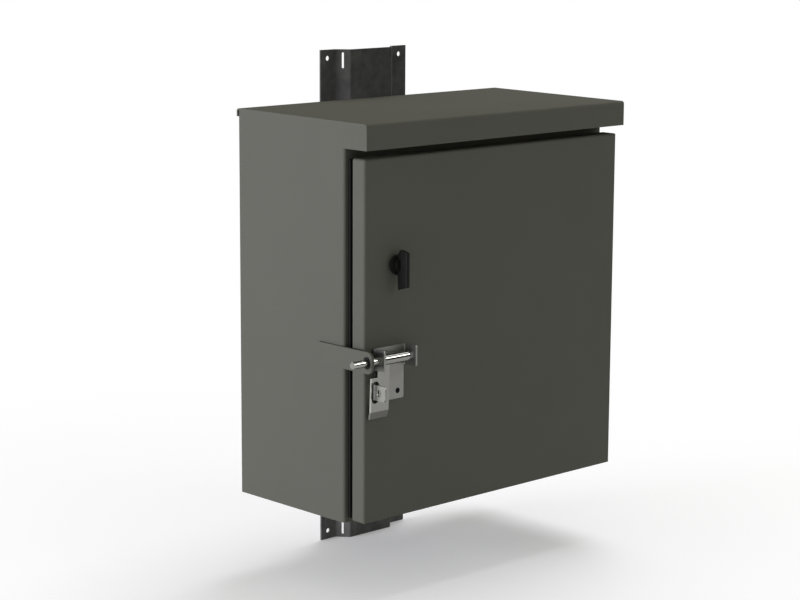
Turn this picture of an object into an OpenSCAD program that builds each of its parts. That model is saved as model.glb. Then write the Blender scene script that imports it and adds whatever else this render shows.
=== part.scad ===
// Weatherproof equipment enclosure for a wall or a pole: a folded sheet body
// under a drip hood, a hinged tray door with a wing-knob latch and a slide-bolt
// hasp, and a hat-section rail behind it that takes wall bolts or pole straps.
// Millimetres. X runs to the right across the door, Y back to the wall, Z up.
// The origin is the middle of the four wall holes, on the rail's wall face.

/* [Body] */
// Outside width of the body
body_w = 408; // [340:1:480]
// Depth from the front flange to the back wall
body_d = 176.5; // [140:0.5:260]
// Height from the underside of the floor to the lower edge of the hood
body_h = 410; // [360:1:520]
// Thickness of the body, hood and door sheet
sheet_t = 2; // [1.5:0.1:2.5]
// Inside radius of the sheet's bends
bend_r = 1.2; // [0.6:0.1:2]
// Thickness of the rubber trim on the sealing rim
trim_t = 1.5; // [1:0.1:2]
// Width of the trim's foot on the front flange
trim_foot = 8; // [4:0.5:9]
// How far the sealing rim stands forward of the front flange
rim_h = 15.6; // [12:0.1:18]
// From the door's edge in to the middle of the sealing rim
rim_in = 11; // [9.5:0.5:16]

/* [Hood] */
// From the front flange forward to the fascia's face
hood_reach = 35.1; // [31:0.1:60]
// Height of the fascia
fascia_h = 28; // [24:0.5:45]
// Rise of the roof from the fascia to the back
roof_fall = 1.7; // [0:0.1:6]
// Depth of the rear lip that laps over the back wall
rear_lip_h = 9; // [6:0.5:16]

/* [Door] */
// How much narrower the door is than the body on each side
door_step = 4; // [2:0.5:5]
// Door's lower edge above the underside of the floor
door_sill = 3.1; // [1:0.1:10]
// Gap between the door's top and the hood's lower edge
eave_gap = 9.9; // [5:0.1:20]
// Gap between the front flange and the edge of the door's tray
door_gap = 9.3; // [8.5:0.1:12]
// Depth of the door's tray
door_d = 18.3; // [16:0.1:26]
// Corner radius of the door seen from the front
door_corner_r = 3; // [2:0.5:8]
// Radius of the door's folded front edges
door_edge_r = 2.5; // [2:0.1:4]
// Width of the foam gasket
gasket_w = 15; // [8:0.5:16]

/* [Hinge] */
// Outside diameter of the hinge knuckles
knuckle_d = 7; // [6:0.1:7.5]
// Diameter of the hinge pin
hinge_pin_d = 3.5; // [2.5:0.1:4]
// Thickness of the hinge leaves
hinge_leaf_t = 1.5; // [1:0.1:2]
// Width of the leaf on the door's side
hinge_leaf_w = 18; // [12:0.5:18]
// Distance from each end of the door to the hinge
hinge_end = 8.5; // [5:0.5:40]
// Number of knuckles, an odd number
knuckle_count = 15; // [5:2:21]

/* [Latch] */
// From the door's left edge in to the latch axis
latch_in = 45; // [42:0.5:80]
// Latch axis above the door's lower edge
latch_up = 281; // [250:0.5:320]
// Diameter of the latch housing's flange
latch_flange_d = 17; // [16:0.5:24]
// Thickness of the latch housing's flange
latch_flange_t = 2; // [2:0.5:6]
// Diameter of the latch housing's threaded body
latch_thread_d = 14; // [12:0.5:15]
// Diameter of the latch spindle
spindle_d = 8; // [7:0.5:9]
// Diameter of the knob's disc
knob_disc_d = 22; // [18:0.5:30]
// Reach of the wing below the latch axis
wing_low = 27; // [18:0.5:32]
// Reach of the wing above the latch axis
wing_high = 16.5; // [14:0.5:24]
// Depth of the wing in front of the knob's disc
wing_d = 14.5; // [10:0.5:25]
// Thickness of the wing
wing_t = 5; // [4:0.5:8]
// How far the cam reaches behind the front flange
cam_engage = 9.5; // [5:0.5:10]

/* [Hasp] */
// Bolt axis above the door's lower edge
hasp_up = 181.6; // [130:0.1:195]
// From the door's left edge in to the bracket's left ear
hasp_in = 10.3; // [8:0.1:20]
// Bolt axis in front of the door
bolt_out = 11.9; // [11:0.1:18]
// Diameter of the slide bolt
bolt_d = 8; // [7:0.1:9]
// Travel of the slide bolt
bolt_stroke = 4; // [3:0.1:6]
// Thickness of the bracket's sheet
bracket_t = 2.5; // [2:0.1:3]
// Clear width between the bracket's ears
ear_gap = 44.2; // [40:0.1:60]
// Height of the ears
ear_h = 23; // [18:0.5:28]
// Reach of the ears in front of the door
ear_reach = 20.1; // [18:0.1:26]
// Bracket's lower edge below the bolt axis
bracket_drop = 48; // [42:0.5:60]
// Thickness of the hasp leaf
leaf_t = 1.8; // [1.2:0.1:2]
// Width of the hasp leaf
leaf_w = 26.5; // [24:0.1:30]
// Leaf's lip bend below the bolt axis
leaf_drop = 57; // [54:0.5:70]
// Length of the leaf's lip
lip_l = 8.5; // [5:0.5:12]
// Width of the leaf's slot
slot_w = 10.6; // [7:0.1:11]
// Height of the leaf's slot
slot_h = 24.4; // [20:0.1:26]
// Thickness of the arm on the body's side
arm_t = 3; // [2:0.1:5]
// Height of the arm
arm_h = 23.8; // [20:0.1:30]
// Length of the arm along the side wall
arm_lap = 38; // [20:0.5:60]
// How far the keeper pin stands out past the arm
pin_out = 21.5; // [10:0.5:30]

/* [Rail] */
// How far the rail reaches below the floor
rail_below = 89; // [60:1:140]
// How far the rail reaches above the roof
rail_above = 57.3; // [50:0.1:140]
// Overall width of the rail
rail_w = 135; // [120:0.5:180]
// Width of the rail's crown
crown_w = 65; // [58:0.5:75]
// Depth of the rail
rail_d = 15.5; // [13:0.1:22]
// Thickness of the rail
rail_t = 2; // [1.5:0.1:3]
// Sideways run of each sloping web
web_run = 11.5; // [8:0.5:16]
// Diameter of the wall holes
wall_hole_d = 6; // [5:0.1:9]
// Sideways spacing of the wall holes
wall_hole_dx = 113; // [105:0.5:115]
// Wall holes' distance from the rail's ends
wall_hole_end = 10; // [8:0.5:20]
// Length of the strap slots
strap_slot_l = 18.5; // [14:0.5:30]
// Width of the strap slots
strap_slot_w = 2.6; // [2:0.1:5]
// Strap slots' distance from the rail's ends
strap_slot_end = 3.5; // [3:0.5:12]
// Diameter of the bolts between the rail and the body
rail_bolt_d = 8; // [6:1:10]
// Height between the rows of rail bolts
rail_bolt_dz = 300; // [200:1:320]
// Sideways spacing of the rail bolts
rail_bolt_dx = 36; // [28:1:36]

/* [Inner panel] */
// Gap between the mounting panel and each side wall
panel_gap_x = 32; // [25:0.5:80]
// Gap between the mounting panel's ends and the door opening's
panel_gap_z = 17.5; // [12:0.5:80]
// Height of the panel's folded side edges
panel_fold = 10; // [6:0.5:16]
// Space between the back wall and the panel
panel_off = 18; // [15:0.5:30]
// Diameter of the panel studs
stud_d = 6; // [5:0.5:8]
// Stud distance from the panel's edges
stud_in = 16; // [14:0.5:30]

/* [Hidden] */
$fn = 48;
// Radial play of a part that turns or slides on another
run_clear = 0.05;
// Play between flat faces that pass each other
face_clear = 0.3;
// Play round a screw or bolt in its hole
hole_clear = 0.2;
// Flats round each sheet bend
bend_steps = 6;

// Places along Y, from the wall forward
y_back = -rail_d - sheet_t;
y_front = y_back - body_d;
y_tray = y_front - door_gap;
y_door = y_tray - door_d;
y_fascia = y_front - hood_reach;

// Places along Z
rail_len = rail_below + body_h + fascia_h + roof_fall + rail_above;
z_floor = rail_below - rail_len / 2;
z_eave = z_floor + body_h;
z_roof_front = z_eave + fascia_h;
z_roof_back = z_roof_front + roof_fall;
z_door_low = z_floor + door_sill;
z_door_high = z_eave - eave_gap;

// Body and door outlines
x_wall = body_w / 2;
door_w = body_w - 2 * door_step;
door_h = z_door_high - z_door_low;
x_door = door_w / 2;
z_door_mid = (z_door_low + z_door_high) / 2;
x_rim = x_door - rim_in;
z_rim_low = z_door_low + rim_in;
z_rim_high = z_door_high - rim_in;
weld_flange = 15;

// Roof's middle surface, from the rear lip to the fascia
roof_y_back = y_back + sheet_t / 2;
roof_y_front = y_fascia + sheet_t / 2;
roof_slope = roof_fall / (roof_y_back - roof_y_front);
roof_half = sheet_t / 2 / cos(atan(roof_slope));
function roof_mid(y) = z_roof_front - sheet_t / 2 + roof_slope * (y - roof_y_front);
roof_path = [[roof_y_back, z_roof_back - rear_lip_h], [roof_y_back, roof_mid(roof_y_back)],
    [roof_y_front, roof_mid(roof_y_front)], [roof_y_front, z_eave]];

// Hinge axis: leaves lie flat on the front flange and on the door's side
hinge_x = x_door + knuckle_d / 2;
hinge_y = y_front - knuckle_d / 2;
hinge_len = door_h - 2 * hinge_end;
hinge_low = z_door_low + hinge_end;
knuckle_pitch = hinge_len / knuckle_count;
knuckle_gap = 0.6;
pin_head_d = hinge_pin_d + 2;
pin_head_h = 1.2;

// Latch, from the door's face inwards
latch_x = -x_door + latch_in;
latch_z = z_door_low + latch_up;
latch_seal_t = 1;
latch_thread_l = 17;
latch_nut_af = 19;
latch_nut_h = 5;
y_latch_flange = y_door - latch_seal_t - latch_flange_t;
knob_disc_t = 3;
y_knob = y_latch_flange - face_clear;
knob_boss_d = 14;
knob_boss_h = 4;
spindle_grip = knob_disc_t + knob_boss_h / 2;
wing_slope = [2.6, 4];
wing_lift = [3.5, 0.8];
wing_r = 1.5;
cam_gap = 2;
cam_t = 3;
cam_w = 18;
y_cam = y_front + sheet_t + cam_gap;
cam_reach = latch_x - (-x_rim + sheet_t / 2) + cam_engage;
spindle_square = spindle_d * 0.7;
cam_screw_d = 4;
cam_screw_l = 10;
cam_screw_head = 3.5;

// Hasp
bolt_y = y_door - bolt_out;
bolt_z = z_door_low + hasp_up;
bracket_r = 1.2;
x_ear_left = -x_door + hasp_in;
x_ear_right = x_ear_left + 2 * bracket_t + ear_gap;
arm_tip = 7.8;
eye_w = bolt_d + 2;
eye_h = bolt_d + 5.4;
arm_tip_r = 7.5;
bush_proud = 0.5;
nose_d = bolt_d * 0.6;
pin_chamfer = 0.8;
x_bolt_left = -x_wall + face_clear;
clip_t = 1;
clip_d = bolt_d + 3;
clip_groove_d = bolt_d - 2;
clip_mouth = bolt_d - 3;
x_clip = x_ear_right - bracket_t - face_clear - clip_t;
x_bolt_right = x_ear_right + bolt_stroke - bracket_t / 2;
leaf_tilt = 2;
lip_turn = 14;
leaf_side = 4;
x_leaf = -x_door + leaf_side;
x_neck = x_ear_left + bracket_t + face_clear;
leaf_shoulder = 19.7;
leaf_knuckle_d = bolt_d + 2 * run_clear + 2 * leaf_t;
leaf_knuckle_l = ear_gap - bolt_stroke - clip_t - 3 * face_clear;
slot_in = 6.5;
slot_drop = 35.7;
ear_r = 1.5;
staple_r = 4;
bracket_corner_r = 2;
staple_h = 17;
staple_reach = 22;
staple_eye_d = 8;
staple_eye_in = 10;
bracket_screw_d = 3.5;
bracket_screw_up = 8.8;
bracket_screw_in = [12.5, 34.5];
bracket_nut_af = 6;
bracket_nut_h = 2.8;

// Rail and its bolts
rail_bolt_places = [for (sx = [-1, 1], sz = [-1, 1])
    [sx * rail_bolt_dx / 2, z_door_mid + sz * rail_bolt_dz / 2]];
rail_head_h = 0.65 * rail_bolt_d;
rail_nut_h = 0.8 * rail_bolt_d;
rail_washer_t = 1.6;
rail_washer_d = 2.4 * rail_bolt_d;
web_angle = atan2(rail_d - rail_t, web_run);
rail_bend_r = 2;

// Inner panel
panel_t = 2;
panel_w = body_w - 2 * sheet_t - 2 * panel_gap_x;
panel_h = z_rim_high - z_rim_low - 2 * panel_gap_z;
y_panel = y_back - sheet_t - panel_off;
stud_places = [for (sx = [-1, 1], sz = [-1, 1])
    [sx * (panel_w / 2 - stud_in), z_door_mid + sz * (panel_h / 2 - stud_in)]];
stud_nut_h = 0.8 * stud_d;
panel_spacer_d = 2 * stud_d;

// Earth stud on the floor
earth_d = 6;
earth_l = 14;
earth_side = 40;
earth_behind = 45;
earth_x = x_wall - earth_side;
earth_y = y_front + earth_behind;
earth_nut_h = 5;

paint = [0.43, 0.43, 0.40];
stainless = [0.72, 0.71, 0.69];
zinc = [0.62, 0.62, 0.60];
raw_steel = [0.30, 0.29, 0.28];
black = [0.10, 0.10, 0.10];
rubber = [0.16, 0.16, 0.16];

// Directions: a flat shape drawn in the two other axes and drawn out along one
module along_x(x0, x1) {
    translate([x0, 0, 0]) rotate([90, 0, 90]) linear_extrude(x1 - x0) children();
}

module along_y(y0, y1) {
    translate([0, y1, 0]) rotate([90, 0, 0]) linear_extrude(y1 - y0) children();
}

module along_z(z0, z1) {
    translate([0, 0, z0]) linear_extrude(z1 - z0) children();
}

module rod_x(x0, x1, d) {
    translate([x0, 0, 0]) rotate([0, 90, 0]) cylinder(d = d, h = x1 - x0);
}

module rod_y(y0, y1, d, sides = $fn) {
    translate([0, y1, 0]) rotate([90, 0, 0]) cylinder(d = d, h = y1 - y0, $fn = sides);
}

// Hexagon of a given width across its flats, along Y
module hex_y(y0, y1, across) {
    rod_y(y0, y1, across / cos(30), 6);
}

// Flat shapes with true round corners
module round_rect(w, h, r) {
    square([w - 2 * r, h], center = true);
    square([w, h - 2 * r], center = true);
    for (sx = [-1, 1], sy = [-1, 1])
        translate([sx * (w / 2 - r), sy * (h / 2 - r)]) circle(r);
}

module obround(w, h) {
    square([w, h - w], center = true);
    for (s = [-1, 1]) translate([0, s * (h - w) / 2]) circle(d = w);
}

// Rectangle from y0 up to y1 with its two lower corners rounded
module low_round_rect(w, y0, y1, r) {
    translate([-w / 2, y0 + r]) square([w, y1 - y0 - r]);
    translate([-w / 2 + r, y0]) square([w - 2 * r, y1 - y0]);
    for (s = [-1, 1]) translate([s * (w / 2 - r), y0 + r]) circle(r);
}

// Section of a folded sheet, drawn round the points of its middle surface
function unit(v) = v / norm(v);
function heading(a, b) = atan2(b[1] - a[1], b[0] - a[0]);
function left_of(angle) = [-sin(angle), cos(angle)];
function turn(a, b, c) = let (u = unit(b - a), w = unit(c - b))
    atan2(u[0] * w[1] - u[1] * w[0], u * w);

// Points of one bend on one side of the sheet, side 1 for the left and -1 for the right
function bend_points(a, b, c, t, r, side) = let (
    angle = turn(a, b, c),
    centre = b + unit(unit(c - b) - unit(b - a)) * (r + t / 2) / cos(angle / 2),
    edge_r = r + t / 2 - side * sign(angle) * t / 2)
    [for (k = [0:bend_steps])
        centre - sign(angle) * edge_r * left_of(heading(a, b) + angle * k / bend_steps)];

function sheet_side(path, t, r, side) = let (last = len(path) - 1) concat(
    [path[0] + side * t / 2 * left_of(heading(path[0], path[1]))],
    [for (i = [1:1:last - 1]) each bend_points(path[i - 1], path[i], path[i + 1], t, r, side)],
    [path[last] + side * t / 2 * left_of(heading(path[last - 1], path[last]))]);

function reversed(list) = [for (i = [len(list) - 1:-1:0]) list[i]];

module folded(path, t, r) {
    polygon(concat(sheet_side(path, t, r, 1), reversed(sheet_side(path, t, r, -1))));
}

// A path and its mirror image across X, joined end to end
function mirrored(half) = concat(half, [for (p = reversed(half)) [-p[0], p[1]]]);

// Body

function wall_path(front) = concat(front, [[x_wall - sheet_t / 2, y_back - sheet_t / 2]]);
flange_front = [[x_rim - sheet_t / 2, y_front + sheet_t / 2],
    [x_wall - sheet_t / 2, y_front + sheet_t / 2]];
rim_front = [[x_rim, y_front - rim_h], [x_rim, y_front + sheet_t / 2],
    [x_wall - sheet_t / 2, y_front + sheet_t / 2]];
cheek_front = [[x_wall - sheet_t / 2, y_fascia + sheet_t]];

module wrap(z0, z1, front) {
    along_z(z0, z1) folded(mirrored(wall_path(front)), sheet_t, bend_r);
}

// The roof's sheet and all that is above its underside
module roof_space() {
    along_x(-x_wall - 1, x_wall + 1) {
        folded(roof_path, sheet_t, bend_r);
        polygon([[y_fascia, roof_mid(y_fascia) - roof_half], [0, roof_mid(0) - roof_half],
            [0, z_roof_back + fascia_h], [y_fascia, z_roof_back + fascia_h]]);
    }
}

module body_shell() {
    color(paint) difference() {
        union() {
            wrap(z_floor, z_rim_low - sheet_t / 2, flange_front);
            wrap(z_rim_low - sheet_t / 2, z_rim_high + sheet_t / 2, rim_front);
            wrap(z_rim_high + sheet_t / 2, z_eave, flange_front);
            wrap(z_eave, z_roof_back, cheek_front);
        }
        roof_space();
        for (p = rail_bolt_places)
            translate([p[0], 0, p[1]]) rod_y(y_back - sheet_t - 1, y_back + 1, rail_bolt_d + 2 * hole_clear);
    }
}

// Floor folded up at the front into the sill and the rim, and up at the back round the rail's washers
module floor_pan() {
    back = y_back - 1.5 * sheet_t;
    path = [[y_front - rim_h, z_rim_low], [y_front + sheet_t / 2, z_rim_low],
        [y_front + sheet_t / 2, z_floor + sheet_t / 2], [back, z_floor + sheet_t / 2],
        [back, z_floor + weld_flange]];
    color(paint) difference() {
        union() {
            along_x(-x_rim + sheet_t / 2, x_rim - sheet_t / 2) folded(path, sheet_t, bend_r);
            intersection() {
                along_x(-x_wall + sheet_t, x_wall - sheet_t) folded(path, sheet_t, bend_r);
                along_z(z_floor - 1, z_floor + 2 * weld_flange) translate([0, y_back - body_d / 2])
                    round_rect(body_w - 2 * sheet_t, body_d - 2 * sheet_t, bend_r + face_clear);
            }
        }
        for (p = rail_bolt_places) translate([p[0], 0, p[1]])
            rod_y(back - sheet_t, y_back - sheet_t + 1, rail_washer_d + 2 * face_clear);
    }
}

// Header between the rim and the roof, with a weld flange under the roof
module front_header() {
    mid = y_front + sheet_t / 2;
    path = [[y_front - rim_h, z_rim_high], [mid, z_rim_high], [mid, roof_mid(mid) - 2 * roof_half],
        [mid + weld_flange, roof_mid(mid + weld_flange) - 2 * roof_half]];
    color(paint) {
        along_x(-x_rim + sheet_t / 2, x_rim - sheet_t / 2) folded(path, sheet_t, bend_r);
        along_x(-x_wall + sheet_t, x_wall - sheet_t) intersection() {
            folded(path, sheet_t, bend_r);
            translate([y_front - 1, z_eave]) square([body_d, 2 * fascia_h]);
        }
    }
}

module roof_hood() {
    color(paint) along_x(-x_wall, x_wall) folded(roof_path, sheet_t, bend_r);
}

// Mounting rail

module strap_slot() {
    rotate([0, 0, web_angle]) along_y(-rail_d, rail_d) obround(strap_slot_w, strap_slot_l);
}

module mounting_rail() {
    half = [[rail_w / 2, -rail_t / 2], [crown_w / 2 + web_run, -rail_t / 2],
        [crown_w / 2, -rail_d + rail_t / 2]];
    slot_z = rail_len / 2 - strap_slot_end - strap_slot_l / 2;
    color(raw_steel) difference() {
        along_z(-rail_len / 2, rail_len / 2) folded(mirrored(half), rail_t, rail_bend_r);
        for (sx = [-1, 1], sz = [-1, 1]) {
            translate([sx * wall_hole_dx / 2, 0, sz * (rail_len / 2 - wall_hole_end)])
                rod_y(-rail_t - 1, 1, wall_hole_d);
            mirror([sx < 0 ? 1 : 0, 0, 0])
                translate([(crown_w + web_run) / 2, -rail_d / 2, sz * slot_z]) strap_slot();
        }
        for (p = rail_bolt_places)
            translate([p[0], 0, p[1]]) rod_y(-rail_d - 1, -1, rail_bolt_d + 2 * hole_clear);
    }
}

module rail_bolts() {
    head_y = -rail_d + rail_t;
    tip_y = y_back - sheet_t - rail_washer_t - rail_nut_h - 2;
    color(zinc) for (p = rail_bolt_places) translate([p[0], 0, p[1]]) {
        hex_y(head_y, head_y + rail_head_h, 1.625 * rail_bolt_d);
        rod_y(tip_y, head_y, rail_bolt_d);
    }
}

module rings_at(places, y0, y1, d, bore) {
    for (p = places) translate([p[0], 0, p[1]]) difference() {
        rod_y(y0, y1, d);
        rod_y(y0 - 1, y1 + 1, bore);
    }
}

module nuts_at(places, y0, y1, across, bore) {
    for (p = places) translate([p[0], 0, p[1]]) difference() {
        hex_y(y0, y1, across);
        rod_y(y0 - 1, y1 + 1, bore);
    }
}

module rail_spacers() {
    color(zinc) rings_at(rail_bolt_places, y_back, -rail_d, rail_washer_d, rail_bolt_d + hole_clear);
}

module rail_washers() {
    inner = y_back - sheet_t;
    color(rubber)
        rings_at(rail_bolt_places, inner - rail_washer_t, inner, rail_washer_d, rail_bolt_d + hole_clear);
}

module rail_nuts() {
    seat = y_back - sheet_t - rail_washer_t;
    color(zinc) nuts_at(rail_bolt_places, seat - rail_nut_h, seat, 1.625 * rail_bolt_d, rail_bolt_d);
}

// Inner panel and earth stud

module mounting_panel() {
    edge = panel_w / 2 - panel_t / 2;
    mid = y_panel - panel_t / 2;
    path = [[-edge, y_panel - panel_fold], [-edge, mid], [edge, mid], [edge, y_panel - panel_fold]];
    color(zinc) difference() {
        along_z(z_door_mid - panel_h / 2, z_door_mid + panel_h / 2) folded(path, panel_t, bend_r);
        for (p = stud_places)
            translate([p[0], 0, p[1]]) rod_y(y_panel - panel_t - 1, y_panel + 1, stud_d + 2 * hole_clear);
    }
}

module panel_studs() {
    tip = y_panel - panel_t - stud_nut_h - 2;
    color(zinc) for (p = stud_places)
        translate([p[0], 0, p[1]]) rod_y(tip, y_back - sheet_t, stud_d);
}

module panel_spacers() {
    color(zinc) rings_at(stud_places, y_panel, y_back - sheet_t, panel_spacer_d, stud_d + hole_clear);
}

module panel_nuts() {
    seat = y_panel - panel_t;
    color(zinc) nuts_at(stud_places, seat - stud_nut_h, seat, 1.7 * stud_d, stud_d);
}

module earth_stud() {
    color("goldenrod") translate([earth_x, earth_y, z_floor + sheet_t]) cylinder(d = earth_d, h = earth_l);
}

module earth_nut() {
    color("goldenrod") translate([earth_x, earth_y, z_floor + sheet_t]) difference() {
        cylinder(d = 1.7 * earth_d / cos(30), h = earth_nut_h, $fn = 6);
        translate([0, 0, -1]) cylinder(d = earth_d, h = earth_nut_h + 2);
    }
}

// Door

module door_panel() {
    tray = [y_door, y_tray];
    color(paint) difference() {
        intersection() {
            along_y(tray[0], tray[1])
                translate([0, z_door_mid]) round_rect(door_w, door_h, door_corner_r);
            along_z(z_door_low, z_door_high) low_round_rect(door_w, tray[0], tray[1], door_edge_r);
            translate([0, 0, z_door_mid]) along_x(-x_door, x_door)
                side_plate(tray[0], tray[1], door_h, door_edge_r);
        }
        translate([0, 0, z_door_mid]) along_y(y_door + sheet_t, y_tray + 1)
            square([door_w - 2 * sheet_t, door_h - 2 * sheet_t], center = true);
        translate([latch_x, 0, latch_z]) rod_y(y_door - 1, y_tray, latch_thread_d + 2 * hole_clear);
        at_bracket_screws() rod_y(y_door - 1, y_tray, bracket_screw_d + 2 * hole_clear);
    }
}

// Flat ring along the sealing rim, from so far inside its middle line to so far outside
module rim_ring(inside, outside, r) {
    difference() {
        round_rect(2 * (x_rim + outside), z_rim_high - z_rim_low + 2 * outside, r);
        square([2 * (x_rim - inside), z_rim_high - z_rim_low - 2 * inside], center = true);
    }
}

module door_gasket() {
    half = gasket_w / 2;
    color(rubber) translate([0, 0, z_door_mid])
        along_y(y_door + sheet_t, y_front - rim_h - trim_t - face_clear) rim_ring(half, half, door_corner_r);
}

// Rubber channel pushed over the edge of the sealing rim, with a foot on the flange beside it
module rim_trim() {
    edge = sheet_t / 2;
    y_lip = y_front - rim_h;
    y_leg = y_front - max(bend_r, hinge_leaf_t) - face_clear;
    color(rubber) translate([0, 0, z_door_mid]) difference() {
        union() {
            along_y(y_lip - trim_t, y_leg) rim_ring(edge + trim_t, edge + trim_t, trim_t);
            difference() {
                union() {
                    along_y(y_leg - trim_t, y_leg) rim_ring(-edge, edge + trim_foot, trim_t);
                    along_y(y_leg - trim_t, y_front)
                        rim_ring(-edge - bend_r - face_clear, edge + trim_foot, trim_t);
                }
                translate([x_rim + edge + trim_t, y_lip, -body_h]) cube([body_w, body_d, 2 * body_h]);
            }
        }
        along_y(y_lip, y_front) difference() {
            square([2 * (x_rim + edge), z_rim_high - z_rim_low + sheet_t], center = true);
            square([2 * (x_rim - edge), z_rim_high - z_rim_low - sheet_t], center = true);
        }
    }
}

// Hinge: even knuckles belong to the body, odd ones to the door

module at_hinge() {
    translate([hinge_x, hinge_y]) children();
}

// A leaf from its flat section: a plate clear of the hinge axis, joined to every second knuckle
module hinge_leaf(first, bore) {
    along_z(hinge_low + knuckle_gap / 2, hinge_low + hinge_len - knuckle_gap / 2) difference() {
        children();
        at_hinge() square(knuckle_d + 2 * face_clear, center = true);
    }
    for (i = [first:2:knuckle_count - 1]) {
        low = hinge_low + i * knuckle_pitch;
        along_z(low + knuckle_gap / 2, low + knuckle_pitch - knuckle_gap / 2) difference() {
            union() {
                children();
                at_hinge() circle(d = knuckle_d);
            }
            at_hinge() circle(d = bore);
        }
    }
}

module hinge_leaf_body() {
    x_in = x_rim + sheet_t / 2 + bend_r + face_clear;
    color(stainless) hinge_leaf(0, hinge_pin_d)
        translate([x_in, y_front - hinge_leaf_t]) square([hinge_x - x_in, hinge_leaf_t]);
}

module hinge_leaf_door() {
    color(stainless) hinge_leaf(1, hinge_pin_d + 2 * run_clear)
        translate([x_door, hinge_y - hinge_leaf_w]) square([hinge_leaf_t, hinge_leaf_w]);
}

module hinge_pin() {
    color(stainless) translate([hinge_x, hinge_y, hinge_low + knuckle_gap / 2]) {
        cylinder(d = hinge_pin_d, h = hinge_len - knuckle_gap);
        for (z = [-pin_head_h, hinge_len - knuckle_gap])
            translate([0, 0, z]) cylinder(d = pin_head_d, h = pin_head_h);
    }
}

// Latch

module at_latch() {
    translate([latch_x, 0, latch_z]) children();
}

module latch_seal() {
    color(rubber) at_latch() difference() {
        rod_y(y_door - latch_seal_t, y_door, latch_flange_d);
        rod_y(y_door - latch_seal_t - 1, y_door + 1, latch_thread_d);
    }
}

module latch_housing() {
    back = y_door - latch_seal_t + latch_thread_l;
    color(black) at_latch() difference() {
        union() {
            rod_y(y_latch_flange, y_latch_flange + latch_flange_t, latch_flange_d);
            rod_y(y_latch_flange, back, latch_thread_d);
        }
        rod_y(y_latch_flange - 1, back + 1, spindle_d + 2 * run_clear);
    }
}

module latch_nut() {
    seat = y_door + sheet_t;
    color(zinc) at_latch() difference() {
        hex_y(seat, seat + latch_nut_h, latch_nut_af);
        rod_y(seat - 1, seat + latch_nut_h + 1, latch_thread_d);
    }
}

// Disc and boss with a thin wing, lifted clear of the disc's plane at both ends
module latch_knob() {
    root = y_knob - knob_disc_t;
    front = root - wing_d;
    foot = knob_disc_d / 2;
    upper = [[front, wing_high - wing_slope[0]], [root - wing_lift[0], wing_high], [root, foot]];
    lower = [[root, -foot], [root - wing_lift[1], -wing_low], [front, wing_slope[1] - wing_low]];
    color(black) at_latch() difference() {
        union() {
            rod_y(root, y_knob, knob_disc_d);
            rod_y(root - knob_boss_h, y_knob, knob_boss_d);
            intersection() {
                along_x(-wing_t, wing_t) polygon(concat(upper, [[y_knob, foot], [y_knob, -foot]], lower));
                along_z(-2 * wing_low, 2 * wing_high) low_round_rect(wing_t, front, y_knob, wing_r);
            }
        }
        rod_y(y_knob - spindle_grip, y_knob + 1, spindle_d);
    }
}

module latch_spindle() {
    color(zinc) at_latch() difference() {
        union() {
            rod_y(y_knob - spindle_grip, y_cam, spindle_d);
            along_y(y_cam, y_cam + cam_t) square(spindle_square, center = true);
        }
        rod_y(y_cam - cam_screw_l, y_cam + cam_t + 1, cam_screw_d);
    }
}

// Cam hangs down when the latch is open and turns behind the left flange
module latch_cam() {
    color(zinc) at_latch() along_y(y_cam, y_cam + cam_t) difference() {
        translate([0, -(cam_reach - cam_w / 2) / 2]) obround(cam_w, cam_reach + cam_w / 2);
        square(spindle_square, center = true);
    }
}

module cam_screw() {
    seat = y_cam + cam_t;
    color(zinc) at_latch() {
        rod_y(y_cam - cam_screw_l, seat, cam_screw_d);
        hex_y(seat, seat + cam_screw_head, 2 * spindle_square);
    }
}

// Hasp

module at_bolt() {
    translate([0, bolt_y, bolt_z]) children();
}

// Profile from the side with its two front corners rounded
module side_plate(y0, y1, h, r) {
    mirror([1, -1]) low_round_rect(h, y0, y1, r);
}

module hasp_arm() {
    color(paint) translate([0, 0, bolt_z]) along_x(-x_wall - arm_t, -x_wall) difference() {
        side_plate(bolt_y - arm_tip, y_front + arm_lap, arm_h, arm_tip_r);
        translate([bolt_y, 0]) obround(eye_w, eye_h);
    }
}

module eye_bush() {
    color(black) at_bolt() along_x(-x_wall - arm_t - bush_proud, -x_wall) difference() {
        obround(eye_w, eye_h);
        circle(d = bolt_d);
    }
}

// Fixed pin in the arm, chamfered outside, with a socket for the slide bolt's nose
module keeper_pin() {
    tip = -x_wall - arm_t - pin_out;
    color(stainless) at_bolt() difference() {
        union() {
            rod_x(tip + pin_chamfer, -x_wall, bolt_d);
            translate([tip, 0, 0]) rotate([0, 90, 0])
                cylinder(d1 = bolt_d - 2 * pin_chamfer, d2 = bolt_d, h = pin_chamfer);
        }
        rod_x(-x_wall - bolt_stroke - 1, -x_wall + 1, nose_d + 2 * run_clear);
    }
}

module slide_bolt() {
    color(stainless) at_bolt() difference() {
        union() {
            rod_x(x_bolt_left, x_bolt_left + bolt_stroke + 1, nose_d);
            rod_x(x_bolt_left + bolt_stroke, x_bolt_right, bolt_d);
        }
        difference() {
            rod_x(x_clip, x_clip + clip_t, bolt_d + 1);
            rod_x(x_clip - 1, x_clip + clip_t + 1, clip_groove_d);
        }
    }
}

module bolt_clip() {
    color(zinc) at_bolt() along_x(x_clip, x_clip + clip_t) difference() {
        circle(d = clip_d);
        circle(d = clip_groove_d);
        translate([-clip_mouth / 2, -clip_d]) square([clip_mouth, clip_d]);
    }
}

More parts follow.
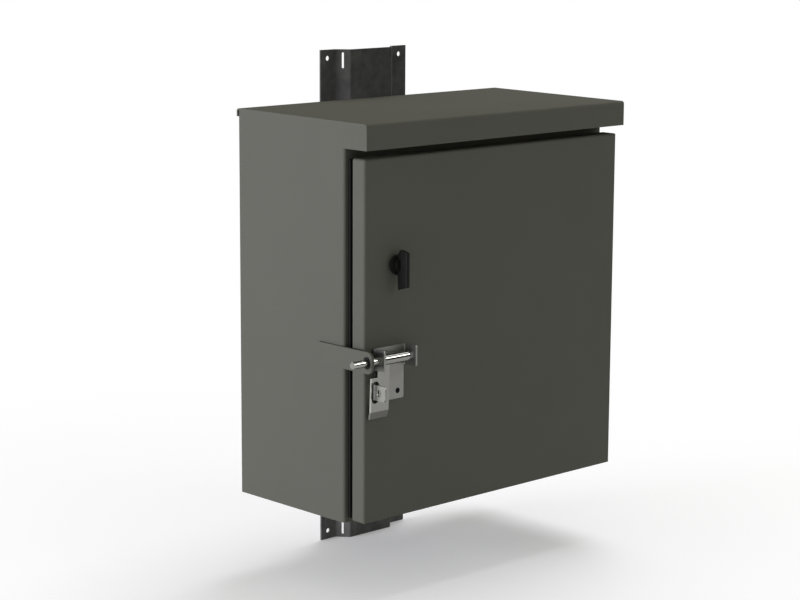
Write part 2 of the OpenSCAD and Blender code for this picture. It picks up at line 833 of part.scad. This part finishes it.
// One folded sheet: a plate on the door, two ears and the padlock staple
module hasp_bracket() {
    mid = y_door - bracket_t / 2;
    left = x_ear_left + bracket_t / 2;
    right = x_ear_right - bracket_t / 2;
    ears = [[left, y_door - ear_reach], [left, mid], [right, mid], [right, y_door - ear_reach]];
    staple = [[left, y_door - staple_reach], [left, mid], [(left + right) / 2, mid]];
    color(stainless) difference() {
        union() {
            intersection() {
                along_z(bolt_z - ear_h / 2, bolt_z + ear_h / 2) folded(ears, bracket_t, bracket_r);
                translate([0, 0, bolt_z]) along_x(x_ear_left, x_ear_right)
                    side_plate(y_door - ear_reach, y_door, ear_h, ear_r);
            }
            intersection() {
                translate([0, 0, bolt_z - slot_drop])
                    along_z(-staple_h / 2, staple_h / 2) folded(staple, bracket_t, bracket_r);
                translate([0, 0, bolt_z - slot_drop]) along_x(x_ear_left, x_ear_right)
                    side_plate(y_door - staple_reach, y_door, staple_h, staple_r);
            }
            along_y(y_door - bracket_t, y_door) translate([(x_ear_left + x_ear_right) / 2, bolt_z])
                low_round_rect(ear_gap - 2 * bracket_r, -bracket_drop, 0, bracket_corner_r);
        }
        at_bolt() rod_x(x_ear_left - 1, x_ear_right + 1, bolt_d + 2 * run_clear);
        translate([0, y_door - staple_reach + staple_eye_in, bolt_z - slot_drop])
            rod_x(x_ear_left - 1, x_ear_left + bracket_t + 1, staple_eye_d);
        at_bracket_screws() {
            rod_y(y_door - bracket_t - 1, y_door + 1, bracket_screw_d + 2 * hole_clear);
            screw_head();
        }
    }
}

module at_bracket_screws() {
    for (x = bracket_screw_in)
        translate([x_ear_right - x, 0, bolt_z - bracket_drop + bracket_screw_up]) children();
}

// Countersunk head, flush with the bracket
module screw_head() {
    translate([0, y_door - bracket_t, 0]) rotate([-90, 0, 0])
        cylinder(d1 = 1.8 * bracket_screw_d, d2 = bracket_screw_d, h = 0.4 * bracket_screw_d);
}

module bracket_screws() {
    tip = y_door + sheet_t + bracket_nut_h + 1.5;
    color(black) at_bracket_screws() {
        screw_head();
        rod_y(y_door - bracket_t, tip, bracket_screw_d);
    }
}

module bracket_nuts() {
    seat = y_door + sheet_t;
    color(zinc) at_bracket_screws() difference() {
        hex_y(seat, seat + bracket_nut_h, bracket_nut_af);
        rod_y(seat - 1, seat + bracket_nut_h + 1, bracket_screw_d);
    }
}

// Leaf hung on the slide bolt, with a slot for the staple and a lip to lift it by
module hasp_leaf() {
    plane = (leaf_knuckle_d - leaf_t) / 2;
    low = [[plane, -leaf_drop],
        [plane + lip_l * sin(lip_turn), -leaf_drop - lip_l * cos(lip_turn)]];
    color(stainless) at_bolt() rotate([leaf_tilt, 0, 0]) difference() {
        union() {
            rod_x(x_neck, x_neck + leaf_knuckle_l, leaf_knuckle_d);
            along_x(x_neck, x_leaf + leaf_w) folded(concat([[plane, 0]], low), leaf_t, bracket_r);
            along_x(x_leaf, x_neck)
                folded(concat([[plane, -leaf_shoulder]], low), leaf_t, bracket_r);
        }
        rod_x(x_neck - 1, x_neck + leaf_knuckle_l + 1, bolt_d + 2 * run_clear);
        along_y(0, 2 * plane) translate([x_leaf + slot_in, -slot_drop]) obround(slot_w, slot_h);
    }
}

body_shell();
floor_pan();
front_header();
roof_hood();
hasp_arm();
eye_bush();
keeper_pin();
mounting_rail();
rail_bolts();
rail_spacers();
rail_washers();
rail_nuts();
mounting_panel();
panel_studs();
panel_spacers();
panel_nuts();
earth_stud();
earth_nut();
rim_trim();
hinge_leaf_body();
hinge_pin();
hinge_leaf_door();
door_panel();
door_gasket();
latch_housing();
latch_seal();
latch_nut();
latch_knob();
latch_spindle();
latch_cam();
cam_screw();
hasp_bracket();
bracket_screws();
bracket_nuts();
slide_bolt();
bolt_clip();
hasp_leaf();
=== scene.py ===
"""Looks, camera and light for the weatherproof enclosure, in the CAD model's own frame."""

import math

import bmesh
import bpy
from mathutils import Matrix, Vector


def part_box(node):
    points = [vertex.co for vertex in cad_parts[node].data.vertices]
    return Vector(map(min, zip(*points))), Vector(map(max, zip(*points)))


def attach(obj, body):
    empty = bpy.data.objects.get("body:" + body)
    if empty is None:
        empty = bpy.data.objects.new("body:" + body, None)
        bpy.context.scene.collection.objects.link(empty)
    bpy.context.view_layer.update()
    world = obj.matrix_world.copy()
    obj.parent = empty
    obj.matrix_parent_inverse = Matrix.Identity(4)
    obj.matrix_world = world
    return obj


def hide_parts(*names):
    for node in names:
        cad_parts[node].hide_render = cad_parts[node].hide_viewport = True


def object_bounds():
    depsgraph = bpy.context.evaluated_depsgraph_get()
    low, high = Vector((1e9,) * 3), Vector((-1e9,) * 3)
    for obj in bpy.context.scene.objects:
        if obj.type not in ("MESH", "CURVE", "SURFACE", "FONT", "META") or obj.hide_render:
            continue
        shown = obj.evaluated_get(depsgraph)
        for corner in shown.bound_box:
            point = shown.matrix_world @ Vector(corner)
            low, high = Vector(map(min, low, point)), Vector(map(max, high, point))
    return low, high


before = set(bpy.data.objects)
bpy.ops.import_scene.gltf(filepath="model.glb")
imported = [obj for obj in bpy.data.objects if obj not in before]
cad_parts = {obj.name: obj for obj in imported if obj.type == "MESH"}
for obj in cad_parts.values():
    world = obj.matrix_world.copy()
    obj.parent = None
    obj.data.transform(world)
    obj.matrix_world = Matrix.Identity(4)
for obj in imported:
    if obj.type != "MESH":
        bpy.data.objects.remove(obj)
cad_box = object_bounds()

# Material building

# Most values of a noise lie between these two
NOISE_LOW = 0.3
NOISE_HIGH = 0.7

# Sockets of a Mix node for colours
MIX_SHARE = 0
MIX_A = 6
MIX_B = 7
MIX_RESULT = 2


class Mat:
    """A node material with one Principled shader and short calls for its textures."""

    def __init__(self, name, metallic=0.0, specular=0.5):
        self.mat = bpy.data.materials.new(name)
        self.mat.use_nodes = True
        self.tree = self.mat.node_tree
        self.shader = self.tree.nodes["Principled BSDF"]
        self.shader.inputs["Metallic"].default_value = metallic
        self.shader.inputs["Specular IOR Level"].default_value = specular
        self.coords = self.add("ShaderNodeTexCoord").outputs["Object"]

    def add(self, kind, **settings):
        node = self.tree.nodes.new(kind)
        for key, value in settings.items():
            setattr(node, key, value)
        return node

    def link(self, source, target):
        self.tree.links.new(source, target)

    def stretched(self, scale):
        mapping = self.add("ShaderNodeMapping")
        mapping.inputs["Scale"].default_value = scale
        self.link(self.coords, mapping.inputs["Vector"])
        return mapping.outputs["Vector"]

    def noise(self, scale, detail=2.0, roughness=0.5, stretch=None):
        node = self.add("ShaderNodeTexNoise")
        node.inputs["Scale"].default_value = scale
        node.inputs["Detail"].default_value = detail
        node.inputs["Roughness"].default_value = roughness
        self.link(self.stretched(stretch) if stretch else self.coords, node.inputs["Vector"])
        return node.outputs["Fac"]

    def cells(self, scale, stretch):
        node = self.add("ShaderNodeTexVoronoi")
        node.inputs["Scale"].default_value = scale
        self.link(self.stretched(stretch), node.inputs["Vector"])
        return node.outputs["Color"]

    def spread(self, value, low, high):
        """A number between low and high that follows a noise."""
        node = self.add("ShaderNodeMapRange")
        node.inputs["From Min"].default_value = NOISE_LOW
        node.inputs["From Max"].default_value = NOISE_HIGH
        node.inputs["To Min"].default_value = low
        node.inputs["To Max"].default_value = high
        self.link(value, node.inputs["Value"])
        return node.outputs["Result"]

    def past(self, axis, place, depth):
        """0 at a place along an axis and 1 from depth past it; a negative depth counts backwards."""
        axes = self.add("ShaderNodeSeparateXYZ")
        self.link(self.coords, axes.inputs["Vector"])
        node = self.add("ShaderNodeMapRange")
        node.inputs["From Min"].default_value = place
        node.inputs["From Max"].default_value = place + depth
        self.link(axes.outputs[axis], node.inputs["Value"])
        return node.outputs["Result"]

    def zoned(self, colour, axis, place, depth, share):
        """The colour, multiplied by the share past a place as past() counts it."""
        node = self.add("ShaderNodeMix", data_type="RGBA", blend_type="MULTIPLY")
        node.inputs[MIX_B].default_value = (share, share, share, 1.0)
        self.link(self.past(axis, place, depth), node.inputs[MIX_SHARE])
        self.link(colour, node.inputs[MIX_A])
        return node.outputs[MIX_RESULT]

    def ramp(self, value, *stops):
        """Each stop is (place, colour), in rising order."""
        node = self.add("ShaderNodeValToRGB")
        elements = node.color_ramp.elements
        while len(elements) < len(stops):
            elements.new(1.0)
        for element, (place, colour) in zip(elements, stops):
            element.position = place
            element.color = (*colour, 1.0)
        self.link(value, node.inputs["Fac"])
        return node.outputs["Color"]

    def tones(self, value, low, high):
        """A colour between low and high that follows a noise."""
        return self.ramp(value, (NOISE_LOW, low), (NOISE_HIGH, high))

    def mixed(self, a, b, share):
        node = self.add("ShaderNodeMix", data_type="RGBA")
        node.inputs[MIX_SHARE].default_value = share
        self.link(a, node.inputs[MIX_A])
        self.link(b, node.inputs[MIX_B])
        return node.outputs[MIX_RESULT]

    def bump(self, *layers):
        """Each layer is (height, strength, distance in metres)."""
        normal = None
        for height, strength, distance in layers:
            node = self.add("ShaderNodeBump")
            node.inputs["Strength"].default_value = strength
            node.inputs["Distance"].default_value = distance
            self.link(height, node.inputs["Height"])
            if normal:
                self.link(normal, node.inputs["Normal"])
            normal = node.outputs["Normal"]
        self.link(normal, self.shader.inputs["Normal"])

    def colour(self, source):
        self.link(source, self.shader.inputs["Base Color"])

    def roughness(self, source):
        self.link(source, self.shader.inputs["Roughness"])


def grey(level, tint=(1.0, 1.0, 1.0)):
    return tuple(level * t for t in tint)


def powder_coat(name, level):
    """Fine-textured polyester coat: a grain under a millimetre and a faint broad mottle."""
    tint = (1.0, 1.005, 0.88)
    m = Mat(name, specular=0.0)
    grain = m.noise(1500, detail=3.0, roughness=0.6)
    fine = m.tones(grain, grey(0.93 * level, tint), grey(1.06 * level, tint))
    wide = m.tones(m.noise(9, detail=3.0), grey(0.965 * level, tint), grey(1.03 * level, tint))
    m.colour(m.mixed(fine, wide, share=0.5))
    m.roughness(m.spread(m.noise(240), 0.58, 0.68))
    m.bump((grain, 0.22, 0.00012), (m.noise(420), 0.10, 0.0002))
    return m.mat


def bright_steel(name, level, rough, stretch, painted_light_zones=()):
    """Drawn or pressed stainless with a fine grain along one direction.

    Each (axis, place, depth, share) in painted_light_zones is a part of the piece whose colour is
    multiplied by the share, as zoned() makes it: painted highlights and painted shade, not a colour of the
    steel's own.
    """
    tint = (1.0, 0.995, 0.93)
    m = Mat(name, metallic=1.0)
    grain = m.noise(900, roughness=0.6, stretch=stretch)
    cloud = m.noise(60, detail=3.0)
    fine = m.tones(grain, grey(0.93 * level, tint), grey(1.05 * level, tint))
    wide = m.tones(cloud, grey(0.94 * level, tint), grey(1.03 * level, tint))
    colour = m.mixed(fine, wide, share=0.4)
    for painted_light_zone in painted_light_zones:
        colour = m.zoned(colour, *painted_light_zone)
    m.colour(colour)
    m.roughness(m.spread(cloud, rough * 0.85, rough * 1.2))
    m.bump((grain, 0.10, 0.00005))
    return m.mat


def zinc_plate(name):
    """Zinc plating: a cloud from a bluish to a yellowish grey."""
    m = Mat(name, metallic=1.0)
    cloud = m.noise(90, detail=4.0, roughness=0.6)
    bluish = (NOISE_LOW, (0.38, 0.39, 0.40))
    plain = (0.5, (0.46, 0.46, 0.45))
    yellowish = (NOISE_HIGH, (0.52, 0.51, 0.48))
    m.colour(m.ramp(cloud, bluish, plain, yellowish))
    m.roughness(m.spread(m.noise(300), 0.28, 0.42))
    m.bump((m.noise(1200), 0.08, 0.00005))
    return m.mat


def galvanised(name, painted_light_zone):
    """Dark weathered galvanising: overlapping spangles under a cloudy bloom.

    The painted_light_zone, an (axis, place, depth, share), is a part of the piece whose colour is
    multiplied by the share, as zoned() makes it: painted light, not a colour of the steel's own.
    """
    m = Mat(name, metallic=0.05, specular=0.06)
    spangle = m.cells(190, (1.0, 1.0, 0.7))
    cloud = m.noise(34, detail=5.0, roughness=0.62)
    flake = m.ramp(spangle, (0.0, grey(0.056)), (1.0, grey(0.100)))
    bloom = m.ramp(cloud, (0.32, grey(0.048)), (0.5, grey(0.082)), (NOISE_HIGH, (0.126, 0.125, 0.120)))
    m.colour(m.zoned(m.mixed(flake, bloom, share=0.6), *painted_light_zone))
    m.roughness(m.spread(cloud, 0.40, 0.58))
    m.bump((m.noise(160, detail=3.0), 0.12, 0.0002))
    return m.mat


def moulded_black(name):
    """Black nylon: a spark-eroded grain with a dull sheen."""
    m = Mat(name, specular=0.08)
    grain = m.noise(2600, roughness=0.6)
    m.colour(m.tones(m.noise(120, detail=3.0), grey(0.0085), grey(0.012, (1.0, 1.0, 0.95))))
    m.roughness(m.spread(grain, 0.40, 0.52))
    m.bump((grain, 0.2, 0.00008))
    return m.mat


def seal_rubber(name):
    """Closed-cell foam and rubber: pitted and matt."""
    m = Mat(name, specular=0.08)
    cells = m.noise(1500, detail=3.0, roughness=0.7)
    m.colour(m.tones(cells, grey(0.007), grey(0.018)))
    m.roughness(m.spread(cells, 0.72, 0.9))
    m.bump((cells, 0.5, 0.0003))
    return m.mat


def plain_brass(name):
    """Turned brass with a slight tarnish."""
    m = Mat(name, metallic=1.0)
    cloud = m.noise(150, detail=3.0)
    m.colour(m.tones(cloud, (0.58, 0.42, 0.17), (0.74, 0.56, 0.26)))
    m.roughness(m.spread(cloud, 0.25, 0.4))
    m.bump((m.noise(1400), 0.06, 0.00005))
    return m.mat


def blackened_steel(name):
    """Black oxide on steel: dark and nearly dull."""
    m = Mat(name, specular=0.05)
    cloud = m.noise(400, detail=3.0)
    m.colour(m.tones(cloud, grey(0.003), grey(0.008)))
    m.roughness(m.spread(cloud, 0.35, 0.5))
    m.bump((m.noise(1800), 0.08, 0.00005))
    return m.mat


LEAF_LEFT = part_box("hasp_leaf")[0][0]
LEAF_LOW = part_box("hasp_leaf")[0][2]
RAIL_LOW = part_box("mounting_rail")[0][2]

# Painted light on the leaf: its bent lip is painted darker than its plate, a painted dark reflection, and
# its left edge is painted brighter, a painted highlight
LIP_HEIGHT = 0.0085
LIP_PAINTED_REFLECTION_SHARE = 0.48
EDGE_WIDTH = 0.0009
EDGE_PAINTED_HIGHLIGHT_SHARE = 1.9
LEAF_PAINTED_LIGHT_ZONES = [
    ("Z", LEAF_LOW + LIP_HEIGHT, -0.001, LIP_PAINTED_REFLECTION_SHARE),
    ("X", LEAF_LEFT + EDGE_WIDTH, -0.0003, EDGE_PAINTED_HIGHLIGHT_SHARE),
]

# Painted light: the rail's foot is painted paler than its upper end, standing in for light thrown up from
# the floor
FOOT_HEIGHT = 0.125
FOOT_PAINTED_LIGHT_SHARE = 2.1
FOOT_PAINTED_LIGHT_ZONE = ("Z", RAIL_LOW + FOOT_HEIGHT, -0.07, FOOT_PAINTED_LIGHT_SHARE)

coat = powder_coat("powder_coat", level=0.110)
rod_steel = bright_steel("stainless_rod", level=0.30, rough=0.10, stretch=(0.06, 1.0, 1.0))
hinge_steel = bright_steel("stainless_hinge", level=0.26, rough=0.30, stretch=(1.0, 1.0, 0.05))
leaf_steel = bright_steel(
    "stainless_leaf", level=0.225, rough=0.12, stretch=(1.0, 1.0, 0.05), painted_light_zones=LEAF_PAINTED_LIGHT_ZONES)
bracket_steel = bright_steel("stainless_bracket", level=0.225, rough=0.40, stretch=(0.05, 1.0, 1.0))
zinc = zinc_plate("zinc_plate")
rail_steel = galvanised("galvanised_steel", painted_light_zone=FOOT_PAINTED_LIGHT_ZONE)
nylon = moulded_black("black_nylon")
rubber = seal_rubber("seal_rubber")
brass = plain_brass("plain_brass")
black_steel = blackened_steel("blackened_steel")

LOOKS = {
    coat: ["body_shell", "floor_pan", "front_header", "roof_hood", "hasp_arm", "door_panel"],
    rod_steel: ["keeper_pin", "slide_bolt", "hinge_pin"],
    leaf_steel: ["hasp_leaf"],
    hinge_steel: ["hinge_leaf_body", "hinge_leaf_door"],
    bracket_steel: ["hasp_bracket"],
    zinc: [
        "rail_bolts", "rail_spacers", "rail_nuts", "mounting_panel", "panel_studs", "panel_spacers",
        "panel_nuts", "latch_nut", "latch_spindle", "latch_cam", "cam_screw", "bracket_nuts", "bolt_clip",
    ],
    rail_steel: ["mounting_rail"],
    brass: ["earth_stud", "earth_nut"],
    rubber: ["rail_washers", "door_gasket", "latch_seal", "rim_trim"],
    nylon: ["eye_bush", "latch_housing", "latch_knob"],
    black_steel: ["bracket_screws"],
}
for material, nodes in LOOKS.items():
    for node in nodes:
        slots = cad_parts[node].data.materials
        slots.clear()
        slots.append(material)

# Fasteners: turned hexagons and cut threads in place of the plain CAD solids

# Points round a turned solid, a multiple of six so that a hexagon's corners are among them
TURN_STEPS = 48
# Round face of a hexagon as a share of its width, and the slope that leads to it
HEX_FACE = 0.94
HEX_SLOPE = math.tan(math.radians(30))
# Depth of a thread as a share of its pitch
THREAD_DEPTH = 0.54
SHARP_ANGLE = math.radians(25)
SAME_POINT = 1e-6


def solid_boxes(node):
    """Lowest and highest corner of each separate solid in a CAD node."""
    mesh = bmesh.new()
    mesh.from_mesh(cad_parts[node].data)
    bmesh.ops.remove_doubles(mesh, verts=mesh.verts, dist=SAME_POINT)
    boxes = []
    seen = set()
    for start in mesh.verts:
        if start in seen:
            continue
        seen.add(start)
        group = [start]
        for vert in group:
            near = [edge.other_vert(vert) for edge in vert.link_edges]
            fresh = [other for other in near if other not in seen]
            seen.update(fresh)
            group += fresh
        boxes.append([
            Vector([pick(vert.co[axis] for vert in group) for axis in range(3)])
            for pick in (min, max)
        ])
    mesh.free()
    return boxes


def ring(place, radius):
    """A round ring on a turned solid: a place along its axis and a radius for each step of the turn."""
    return [(place, radius)] * TURN_STEPS


def hex_radii(across):
    """Radius of a hexagon for each step of a turn that starts at a corner."""
    turns = [2 * math.pi * step / TURN_STEPS for step in range(TURN_STEPS)]
    return [across / 2 / math.cos(turn % (math.pi / 3) - math.pi / 6) for turn in turns]


def hex_rings(low, high, across):
    """A hexagon between two places on its axis, with its corners turned off at both ends."""
    flat = HEX_FACE * across / 2
    corners = hex_radii(across)
    return [
        ring(low, flat),
        [(low + HEX_SLOPE * (r - flat), r) for r in corners],
        [(high - HEX_SLOPE * (r - flat), r) for r in corners],
        ring(high, flat),
    ]


def thread_rings(low, high, size, pitch):
    """A cut thread as a row of ridges between root and crest."""
    ridges = max(1, round((high - low) / pitch))
    step = (high - low) / ridges
    root = size / 2 - THREAD_DEPTH * pitch
    rings = [ring(low, root)]
    for i in range(ridges):
        rings += [ring(low + (i + 0.5) * step, size / 2), ring(low + (i + 1) * step, root)]
    return rings


def nut(low, high, across, bore):
    return [ring(low, bore / 2), *hex_rings(low, high, across), ring(high, bore / 2)]


def hex_bolt(low, high, across, size, pitch, head):
    return thread_rings(low, high - head, size, pitch) + hex_rings(high - head, high, across)


def socket_screw(low, high, across, size, pitch, head, key):
    """A countersunk screw whose head, at the low end, has a hexagon socket."""
    socket = hex_radii(key)
    return [
        [(low + head, r) for r in socket],
        [(low, r) for r in socket],
        ring(low, across / 2),
        *thread_rings(low + head, high, size, pitch),
    ]


def flanged_tube(low, high, across, size, pitch, flange, bore):
    """A tube with a flange at its low end and a thread on the rest."""
    edge = flange / 4
    return [
        ring(low, bore / 2),
        ring(low, across / 2 - edge),
        ring(low + edge, across / 2),
        ring(low + flange, across / 2),
        *thread_rings(low + flange, high, size, pitch),
        ring(high, bore / 2),
    ]


def turned(name, along, solids, tube):
    """One mesh of turned solids along an axis, 1 for Y and 2 for Z.

    A tube's last ring is joined to its first; other solids have their ends closed.
    """
    mesh = bmesh.new()
    for centre, rings in solids:
        rows = []
        for row in rings:
            rows.append([])
            for step, (place, radius) in enumerate(row):
                angle = 2 * math.pi * step / TURN_STEPS
                point = centre.copy()
                point[0] += radius * math.cos(angle)
                point[3 - along] += radius * math.sin(angle)
                point[along] = place
                rows[-1].append(mesh.verts.new(point))
        for a, b in zip(rows, rows[1:] + rows[:1] if tube else rows[1:]):
            for i in range(TURN_STEPS):
                mesh.faces.new((a[i - 1], a[i], b[i], b[i - 1]))
        if not tube:
            mesh.faces.new(rows[0])
            mesh.faces.new(rows[-1])
    bmesh.ops.recalc_face_normals(mesh, faces=mesh.faces)
    data = bpy.data.meshes.new(name)
    mesh.to_mesh(data)
    mesh.free()
    data.shade_smooth()
    data.set_sharp_from_angle(angle=SHARP_ANGLE)
    piece = bpy.data.objects.new(name, data)
    bpy.context.collection.objects.link(piece)
    return piece


def cut_fasteners(node, body, finish, make, along=1, tube=False, **sizes):
    """Puts a turned solid in the place of each plain one in a CAD node."""
    solids = []
    for low, high in solid_boxes(node):
        rings = make(low[along], high[along], (high - low)[3 - along], **sizes)
        solids.append(((low + high) / 2, rings))
    piece = turned(node + "_cut", along, solids, tube)
    slot, material = finish
    piece.data.materials.append(material)
    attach(piece, body)
    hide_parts(node)


ZINC = ("zinc_plate", zinc)
BRASS = ("brass", brass)
cut_fasteners("rail_bolts", "enclosure", ZINC, hex_bolt, size=0.008, pitch=0.00125, head=0.0052)
cut_fasteners("rail_nuts", "enclosure", ZINC, nut, tube=True, bore=0.008)
cut_fasteners("panel_studs", "enclosure", ZINC, thread_rings, pitch=0.001)
cut_fasteners("panel_nuts", "enclosure", ZINC, nut, tube=True, bore=0.006)
cut_fasteners("earth_stud", "enclosure", BRASS, thread_rings, along=2, pitch=0.001)
cut_fasteners("earth_nut", "enclosure", BRASS, nut, along=2, tube=True, bore=0.006)
cut_fasteners("latch_nut", "door", ZINC, nut, tube=True, bore=0.014)
cut_fasteners("latch_housing", "door", ("black_plastic", nylon), flanged_tube, tube=True,
              size=0.014, pitch=0.0015, flange=0.002, bore=0.0081)
cut_fasteners("bracket_screws", "door", ("black_steel", black_steel), socket_screw,
              size=0.0035, pitch=0.0006, head=0.0014, key=0.002)
cut_fasteners("bracket_nuts", "door", ZINC, nut, tube=True, bore=0.0035)
cut_fasteners("cam_screw", "latch", ZINC, hex_bolt, size=0.004, pitch=0.0007, head=0.0035)

# Broken edges, as the width of the bevel and the pieces that have it

EDGE_SEGMENTS = 2
EDGE_ANGLE = math.radians(35)
EDGES = {
    0.0004: ["hasp_leaf", "hasp_bracket", "latch_cam"],
    0.0008: ["latch_knob"],
}
for width, nodes in EDGES.items():
    for node in nodes:
        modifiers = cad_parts[node].modifiers
        modifiers.new("weld", "WELD").merge_threshold = SAME_POINT
        bevel = modifiers.new("edges", "BEVEL")
        bevel.width = width
        bevel.segments = EDGE_SEGMENTS
        bevel.angle_limit = EDGE_ANGLE
        modifiers.new("shading", "WEIGHTED_NORMAL").keep_sharp = True

# Floor, backdrop and light

FLOOR_GAP = 0.0005
FLOOR_Z = cad_box[0][2] - FLOOR_GAP
FLOOR_COLOUR = (0.84, 0.838, 0.88)
# Light that the seen floor gives out near the object, and the distances over which it turns white
FLOOR_LIFT = 0.235
FADE_START = 0.34
FADE_END = 1.0
WORLD_LIGHT = (0.36, 0.358, 0.312)


def disc(name, radius, z, sides):
    mesh = bpy.data.meshes.new(name)
    turns = [2 * math.pi * i / sides for i in range(sides)]
    rim = [(radius * math.cos(turn), radius * math.sin(turn), z) for turn in turns]
    mesh.from_pydata(rim, [], [tuple(range(sides))])
    obj = bpy.data.objects.new(name, mesh)
    bpy.context.collection.objects.link(obj)
    return obj


def math_node(tree, operation, *values):
    """A Math node whose inputs are sockets or plain numbers."""
    node = tree.nodes.new("ShaderNodeMath")
    node.operation = operation
    for slot, value in zip(node.inputs, values):
        if isinstance(value, float):
            slot.default_value = value
        else:
            tree.links.new(value, slot)
    return node.outputs[0]


def seen_ray(tree):
    """1 for what the camera sees directly, in a reflection or through glass, and 0 for light."""
    path = tree.nodes.new("ShaderNodeLightPath").outputs
    shiny = math_node(tree, "MAXIMUM", path["Is Glossy Ray"], path["Is Transmission Ray"])
    return math_node(tree, "MAXIMUM", path["Is Camera Ray"], shiny)


def emission(tree, strength):
    node = tree.nodes.new("ShaderNodeEmission")
    if isinstance(strength, float):
        node.inputs["Strength"].default_value = strength
    else:
        tree.links.new(strength, node.inputs["Strength"])
    return node.outputs[0]


def floor_material():
    """A pale floor that keeps the object's shadow and fades to the white backdrop away from it."""
    mat = bpy.data.materials.new("studio_floor")
    mat.use_nodes = True
    tree = mat.node_tree
    tree.nodes.clear()
    ray = seen_ray(tree)
    paint = tree.nodes.new("ShaderNodeBsdfDiffuse")
    paint.inputs["Color"].default_value = (*FLOOR_COLOUR, 1.0)
    near = tree.nodes.new("ShaderNodeAddShader")
    tree.links.new(paint.outputs[0], near.inputs[0])
    tree.links.new(emission(tree, math_node(tree, "MULTIPLY", ray, FLOOR_LIFT)), near.inputs[1])
    place = tree.nodes.new("ShaderNodeTexCoord").outputs["Object"]
    reach = tree.nodes.new("ShaderNodeVectorMath")
    reach.operation = "LENGTH"
    tree.links.new(place, reach.inputs[0])
    fade = tree.nodes.new("ShaderNodeMapRange")
    fade.interpolation_type = "SMOOTHSTEP"
    fade.inputs["From Min"].default_value = FADE_START
    fade.inputs["From Max"].default_value = FADE_END
    tree.links.new(reach.outputs["Value"], fade.inputs["Value"])
    mix = tree.nodes.new("ShaderNodeMixShader")
    tree.links.new(math_node(tree, "MULTIPLY", ray, fade.outputs["Result"]), mix.inputs[0])
    tree.links.new(near.outputs[0], mix.inputs[1])
    tree.links.new(emission(tree, 1.0), mix.inputs[2])
    out = tree.nodes.new("ShaderNodeOutputMaterial")
    tree.links.new(mix.outputs[0], out.inputs["Surface"])
    return mat


def studio_world():
    """A white backdrop that lights the object with the softer, slightly warm WORLD_LIGHT."""
    world = bpy.data.worlds.new("studio")
    world.use_nodes = True
    tree = world.node_tree
    background = tree.nodes["Background"]
    choice = tree.nodes.new("ShaderNodeMix")
    choice.data_type = "RGBA"
    choice.inputs[MIX_A].default_value = (*WORLD_LIGHT, 1.0)
    choice.inputs[MIX_B].default_value = (1.0, 1.0, 1.0, 1.0)
    tree.links.new(seen_ray(tree), choice.inputs[MIX_SHARE])
    tree.links.new(choice.outputs[MIX_RESULT], background.inputs["Color"])
    return world


def softbox(name, place, aim, size, power, colour=(1.0, 1.0, 1.0)):
    """A lamp panel that points from its place to its aim; size is its width and height."""
    light = bpy.data.lights.new(name, "AREA")
    light.color = colour
    light.shape = "RECTANGLE"
    light.size, light.size_y = size
    light.energy = power
    obj = bpy.data.objects.new(name, light)
    bpy.context.collection.objects.link(obj)
    obj.visible_camera = False
    obj.location = place
    obj.rotation_euler = (Vector(aim) - Vector(place)).to_track_quat("-Z", "Y").to_euler()
    return obj


def flag(name, place, width, height, colour):
    """An upright card facing the object that only shiny surfaces see, for a dark line under a highlight."""
    mesh = bpy.data.meshes.new(name)
    across = Vector((-place[1], place[0], 0.0)).normalized() * width / 2
    foot = Vector(place)
    head = foot + Vector((0.0, 0.0, height))
    mesh.from_pydata([foot - across, foot + across, head + across, head - across], [], [(0, 1, 2, 3)])
    card = bpy.data.objects.new(name, mesh)
    bpy.context.collection.objects.link(card)
    paint = bpy.data.materials.new(name)
    paint.use_nodes = True
    shader = paint.node_tree.nodes["Principled BSDF"]
    shader.inputs["Base Color"].default_value = (*colour, 1.0)
    shader.inputs["Specular IOR Level"].default_value = 0.0
    mesh.materials.append(paint)
    card.visible_camera = False
    card.visible_diffuse = False
    card.visible_shadow = False
    card.visible_transmission = False


floor = disc("studio_floor", radius=40.0, z=FLOOR_Z, sides=96)
floor.data.materials.append(floor_material())
bpy.context.scene.world = studio_world()

# The left lamp stands behind the plane of the door's gap, so that the gap stays dark
softbox(
    "key_left", place=(-2.8, 0.5, 0.25), aim=(0.0, -0.1, 0.0), size=(1.4, 1.0), power=66.0,
    colour=(0.97, 0.98, 1.04))
softbox("top_right", place=(1.25, 0.25, 2.4), aim=(0.0, -0.1, 0.0), size=(1.7, 1.7), power=40.0)
softbox("fill_front", place=(1.0, -2.2, 1.1), aim=(0.0, -0.2, 0.0), size=(1.4, 0.8), power=5.6)

# The highlight on the hasp's rod, and the dark line under it
glint = softbox("glint", place=(1.51, -1.64, 1.16), aim=(-0.18, -0.23, -0.02), size=(0.5, 0.4), power=10.0)
glint.visible_diffuse = False
flag("black_flag", place=(0.62, -1.08, -0.08), width=1.6, height=0.55, colour=grey(0.004))

# Camera, fitted to the photograph


def photo_camera(place, yaw, pitch, roll, focal_px, width_px):
    """A camera by its place, three angles in degrees, and the focal length and picture width in pixels."""
    data = bpy.data.cameras.new("photo_camera")
    data.sensor_fit = "HORIZONTAL"
    data.sensor_width = 36.0
    data.lens = focal_px * data.sensor_width / width_px
    data.clip_end = 200.0
    yaw, pitch, roll = (math.radians(a) for a in (yaw, pitch, roll))
    ahead = Vector((math.sin(yaw) * math.cos(pitch), math.cos(yaw) * math.cos(pitch), -math.sin(pitch)))
    right = Vector((math.cos(yaw), -math.sin(yaw), 0.0))
    up = right.cross(ahead)
    side = math.cos(roll) * right + math.sin(roll) * up
    top = -math.sin(roll) * right + math.cos(roll) * up
    turn = Matrix((side, top, -ahead)).transposed()
    obj = bpy.data.objects.new("photo_camera", data)
    bpy.context.collection.objects.link(obj)
    obj.matrix_world = Matrix.Translation(place) @ turn.to_4x4()
    return obj


bpy.context.scene.camera = photo_camera(
    place=(-1.7807, -1.9438, 0.4767), yaw=43.477, pitch=10.424, roll=0.290, focal_px=2237.0, width_px=800)
bpy.context.scene.view_settings.view_transform = "Standard"
